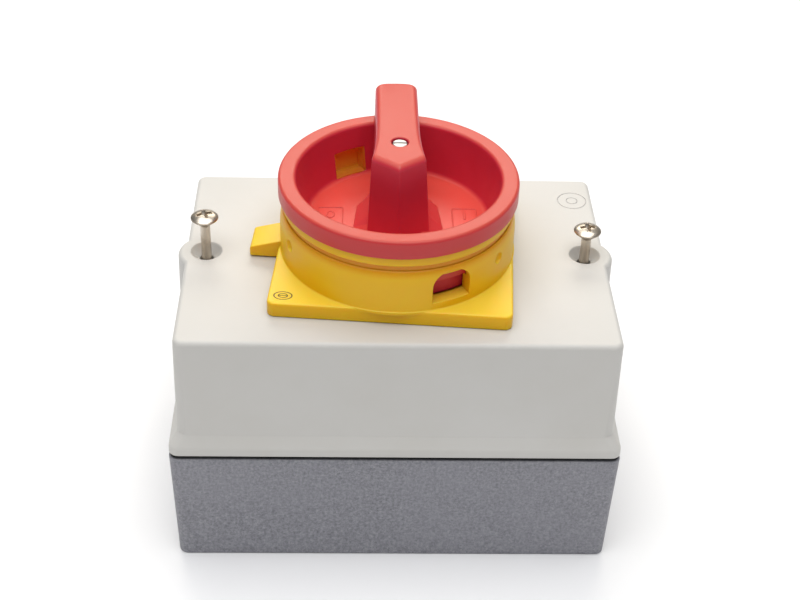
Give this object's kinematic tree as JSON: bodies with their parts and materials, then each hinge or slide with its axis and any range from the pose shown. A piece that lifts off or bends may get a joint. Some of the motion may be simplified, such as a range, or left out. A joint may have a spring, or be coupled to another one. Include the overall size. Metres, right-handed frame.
{
  "type": "rotary isolator switch",
  "caption": "Enclosed rotary isolator: grey base, cream cover with captive screws, yellow front plate with lock slide, red lockable bowl handle, switch mechanism inside.",
  "frame": {"origin": "middle of the base's underside", "axes": "+Z out through the cover and along the shaft, +X along the longer side, +Y towards the end that the grip points to in the ON position"},
  "size_m": [0.168, 0.1184, 0.1523],
  "materials": {
    "grey_moulding": "fine mottled grain",
    "cream_moulding": "smooth satin",
    "red_moulding": "fine satin",
    "yellow_moulding": "fine satin",
    "black_rubber": "matte",
    "black_moulding": "matte",
    "dark_moulding": "matte",
    "zinc_plated_steel": "plated",
    "brass": "turned",
    "copper": "stamped copper alloy"
  },
  "bodies": {
    "root": {"base_box": "grey_moulding", "contact_housing_lower": "dark_moulding", "contact_housing_upper": "dark_moulding", "earth_screw": "zinc_plated_steel", "earth_terminal": "brass", "fixed_contact_lower_1": "copper", "fixed_contact_lower_2": "copper", "fixed_contact_lower_3": "copper", "fixed_contact_lower_4": "copper", "fixed_contact_upper_1": "copper", "fixed_contact_upper_2": "copper", "fixed_contact_upper_3": "copper", "fixed_contact_upper_4": "copper", "insert_left": "brass", "insert_right": "brass", "latch_cap": "dark_moulding", "latch_housing": "dark_moulding", "latch_plunger_back": "black_moulding", "latch_plunger_front": "black_moulding", "latch_spring_back": "zinc_plated_steel", "latch_spring_front": "zinc_plated_steel", "mounting_plate": "zinc_plated_steel", "plate_screw_1": "zinc_plated_steel", "plate_screw_2": "zinc_plated_steel", "terminal_screw_lower_1": "zinc_plated_steel", "terminal_screw_lower_2": "zinc_plated_steel", "terminal_screw_lower_3": "zinc_plated_steel", "terminal_screw_lower_4": "zinc_plated_steel", "terminal_screw_upper_1": "zinc_plated_steel", "terminal_screw_upper_2": "zinc_plated_steel", "terminal_screw_upper_3": "zinc_plated_steel", "terminal_screw_upper_4": "zinc_plated_steel", "tie_bolt_1": "zinc_plated_steel", "tie_bolt_2": "zinc_plated_steel"},
    "cover": {"cover": "cream_moulding", "gasket": "black_rubber", "screw_retainer_left": "black_rubber", "screw_retainer_right": "black_rubber", "front_plate": "yellow_moulding", "front_plate_screw_1": "zinc_plated_steel", "front_plate_screw_2": "zinc_plated_steel", "shaft_seal": "black_rubber"},
    "cover_screw_left": {"cover_screw_left": "zinc_plated_steel"},
    "cover_screw_right": {"cover_screw_right": "zinc_plated_steel"},
    "lock_slide": {"lock_slide": "yellow_moulding"},
    "handle": {"handle": "red_moulding", "handle_ring": "yellow_moulding", "handle_screw": "zinc_plated_steel"},
    "shaft": {"shaft": "zinc_plated_steel", "cam_lower": "dark_moulding", "cam_upper": "dark_moulding", "star_wheel": "dark_moulding"},
    "carrier_lower_left": {"contact_carrier_lower_left": "black_moulding", "contact_bridge_lower_left": "copper"},
    "carrier_lower_right": {"contact_carrier_lower_right": "black_moulding", "contact_bridge_lower_right": "copper"},
    "carrier_upper_left": {"contact_carrier_upper_left": "black_moulding", "contact_bridge_upper_left": "copper"},
    "carrier_upper_right": {"contact_carrier_upper_right": "black_moulding", "contact_bridge_upper_right": "copper"}
  },
  "joints": [
    {"name": "cover_lift", "type": "slide", "parent": "root", "child": "cover", "axis": [0, 0, 1], "range_m": [0, 0.08]},
    {"name": "cover_screw_left_turn_in", "type": "slide", "parent": "cover", "child": "cover_screw_left", "axis": [0, 0, 1], "range_m": [-0.0156, 0]},
    {"name": "cover_screw_right_turn_in", "type": "slide", "parent": "cover", "child": "cover_screw_right", "axis": [0, 0, 1], "range_m": [-0.0116, 0]},
    {"name": "lock_slide_push", "type": "slide", "parent": "cover", "child": "lock_slide", "axis": [0.9966, -0.0819, 0], "range_m": [0, 0.008]},
    {"name": "handle_turn", "type": "hinge", "parent": "cover", "child": "handle", "pos_m": [0, 0, 0.1388], "axis": [0, 0, 1], "range_deg": [0, 90]},
    {"name": "shaft_turn", "type": "hinge", "parent": "root", "child": "shaft", "pos_m": [0, 0, 0.06], "axis": [0, 0, 1], "range_deg": [0, 90]},
    {"name": "carrier_lower_left_slide", "type": "slide", "parent": "root", "child": "carrier_lower_left", "axis": [-1, 0, 0], "range_m": [0, 0.004]},
    {"name": "carrier_lower_right_slide", "type": "slide", "parent": "root", "child": "carrier_lower_right", "axis": [1, 0, 0], "range_m": [0, 0.004]},
    {"name": "carrier_upper_left_slide", "type": "slide", "parent": "root", "child": "carrier_upper_left", "axis": [-1, 0, 0], "range_m": [0, 0.004]},
    {"name": "carrier_upper_right_slide", "type": "slide", "parent": "root", "child": "carrier_upper_right", "axis": [1, 0, 0], "range_m": [0, 0.004]}
  ],
  "couplings": [
    {"joint": "shaft_turn", "follows": "handle_turn", "ratio": 1},
    {"joint": "carrier_lower_left_slide", "follows": "handle_turn", "m_per_rad": 0.0025465},
    {"joint": "carrier_lower_right_slide", "follows": "handle_turn", "m_per_rad": 0.0025465},
    {"joint": "carrier_upper_left_slide", "follows": "handle_turn", "m_per_rad": 0.0025465},
    {"joint": "carrier_upper_right_slide", "follows": "handle_turn", "m_per_rad": 0.0025465}
  ]
}
